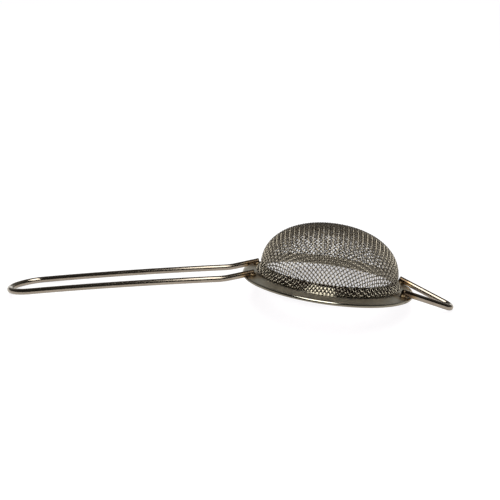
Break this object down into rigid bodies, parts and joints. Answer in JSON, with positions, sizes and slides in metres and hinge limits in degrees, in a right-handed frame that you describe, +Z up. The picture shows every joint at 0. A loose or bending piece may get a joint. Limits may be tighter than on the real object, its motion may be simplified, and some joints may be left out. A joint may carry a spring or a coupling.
{
  "type": "tea strainer",
  "caption": "Hand-held tea strainer with a woven gauze bowl on a pressed rim, a long wire handle and a short wire rest ear.",
  "frame": {"origin": "on the table, under the middle of the strainer's box, with the strainer lying bowl up", "axes": "+X from the handle's end towards the rest ear, +Z up from the table"},
  "size_m": [0.1984, 0.073, 0.0368],
  "materials": {
    "pressed_steel": "pressed stainless sheet with a fine satin grain",
    "gauze_steel": "plain-weave stainless gauze, slightly warm and darkened in its crossings",
    "wire_steel": "polished stainless wire, with golden heat tint by the welds",
    "weld_steel": "heat-tinted weld metal, dull brown and gold"
  },
  "bodies": {
    "root": {"rim_ring": "pressed_steel", "gauze_bowl": "gauze_steel", "handle_wire": "wire_steel", "rest_ear_wire": "wire_steel", "handle_weld_left": "weld_steel", "handle_weld_right": "weld_steel", "rest_ear_weld_left": "weld_steel", "rest_ear_weld_right": "weld_steel"}
  },
  "joints": []
}
